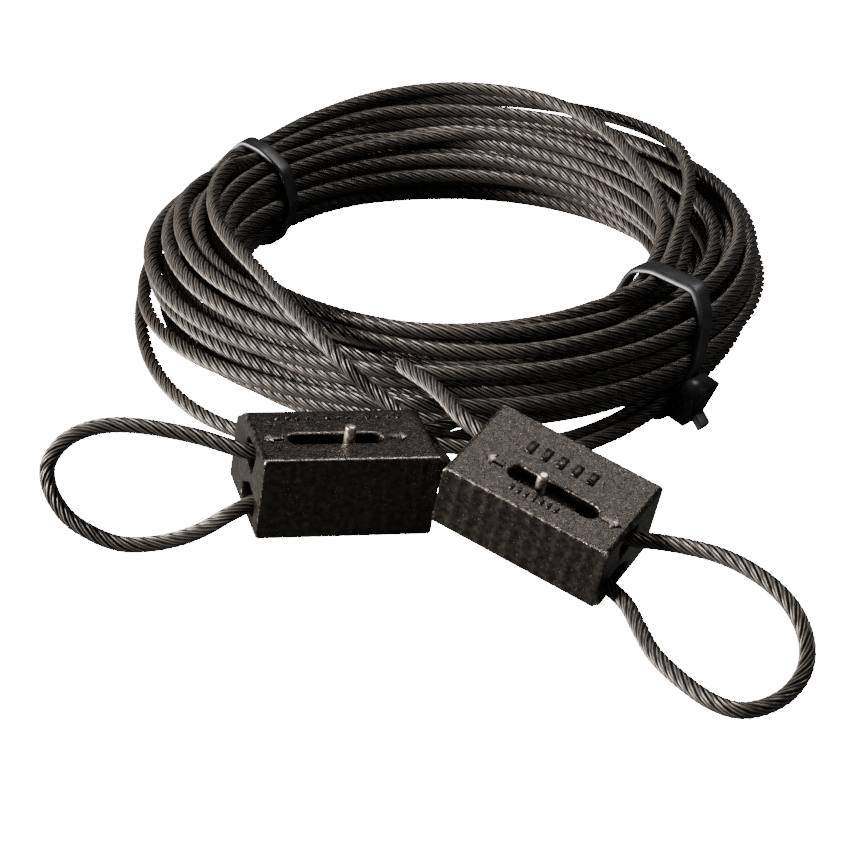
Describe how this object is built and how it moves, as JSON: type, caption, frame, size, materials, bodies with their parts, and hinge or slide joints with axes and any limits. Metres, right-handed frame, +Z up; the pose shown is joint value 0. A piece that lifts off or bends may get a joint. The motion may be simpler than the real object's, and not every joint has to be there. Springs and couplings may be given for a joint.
{
  "type": "wire rope with self-gripping locks",
  "caption": "Coiled steel wire rope held by cable ties, with a self-gripping two-channel lock and a rope loop at each end.",
  "frame": {"origin": "on the floor under the middle of the two locks", "axes": "+Z up, +Y from the locks towards the coil, +X to the right when the coil is behind the locks"},
  "size_m": [0.1426, 0.2229, 0.026],
  "materials": {
    "cast_block": "dark tumbled casting, satin, bright on worn edges",
    "dark_rope": "dark oiled stranded wire",
    "bright_pin": "turned steel, slightly warm",
    "spring_steel": "drawn wire and stamped plate",
    "black_nylon": "moulded nylon, glossy"
  },
  "bodies": {
    "root": {"rope_coil": "dark_rope", "rope_end_left": "dark_rope", "rope_end_right": "dark_rope", "cable_tie_left": "black_nylon", "cable_tie_right": "black_nylon", "lock_left_body": "cast_block", "lock_left_spring_tail": "spring_steel", "lock_left_spring_load": "spring_steel", "lock_left_plate_tail": "spring_steel", "lock_left_plate_load": "spring_steel", "lock_right_body": "cast_block", "lock_right_spring_tail": "spring_steel", "lock_right_spring_load": "spring_steel", "lock_right_plate_tail": "spring_steel", "lock_right_plate_load": "spring_steel"},
    "left_tail_wedge": {"lock_left_wedge_tail": "bright_pin", "lock_left_pin_tail": "bright_pin"},
    "left_load_wedge": {"lock_left_wedge_load": "bright_pin", "lock_left_pin_load": "bright_pin"},
    "right_tail_wedge": {"lock_right_wedge_tail": "bright_pin", "lock_right_pin_tail": "bright_pin"},
    "right_load_wedge": {"lock_right_wedge_load": "bright_pin", "lock_right_pin_load": "bright_pin"}
  },
  "joints": [
    {"name": "left_tail_release", "type": "slide", "parent": "root", "child": "left_tail_wedge", "axis": [0.953, 0.2715, -0.1349], "range_m": [0, 0.005], "stiffness_N_per_m": 300, "springref_m": -0.004, "deforming": ["lock_left_spring_tail"]},
    {"name": "left_load_release", "type": "slide", "parent": "root", "child": "left_load_wedge", "axis": [-0.953, -0.2715, 0.1349], "range_m": [0, 0.005], "stiffness_N_per_m": 300, "springref_m": -0.004, "deforming": ["lock_left_spring_load"]},
    {"name": "right_load_release", "type": "slide", "parent": "root", "child": "right_load_wedge", "axis": [0.8485, -0.4626, -0.2571], "range_m": [0, 0.005], "stiffness_N_per_m": 300, "springref_m": -0.004, "deforming": ["lock_right_spring_load"]},
    {"name": "right_tail_release", "type": "slide", "parent": "root", "child": "right_tail_wedge", "axis": [-0.8485, 0.4626, 0.2571], "range_m": [0, 0.005], "stiffness_N_per_m": 300, "springref_m": -0.004, "deforming": ["lock_right_spring_tail"]}
  ]
}
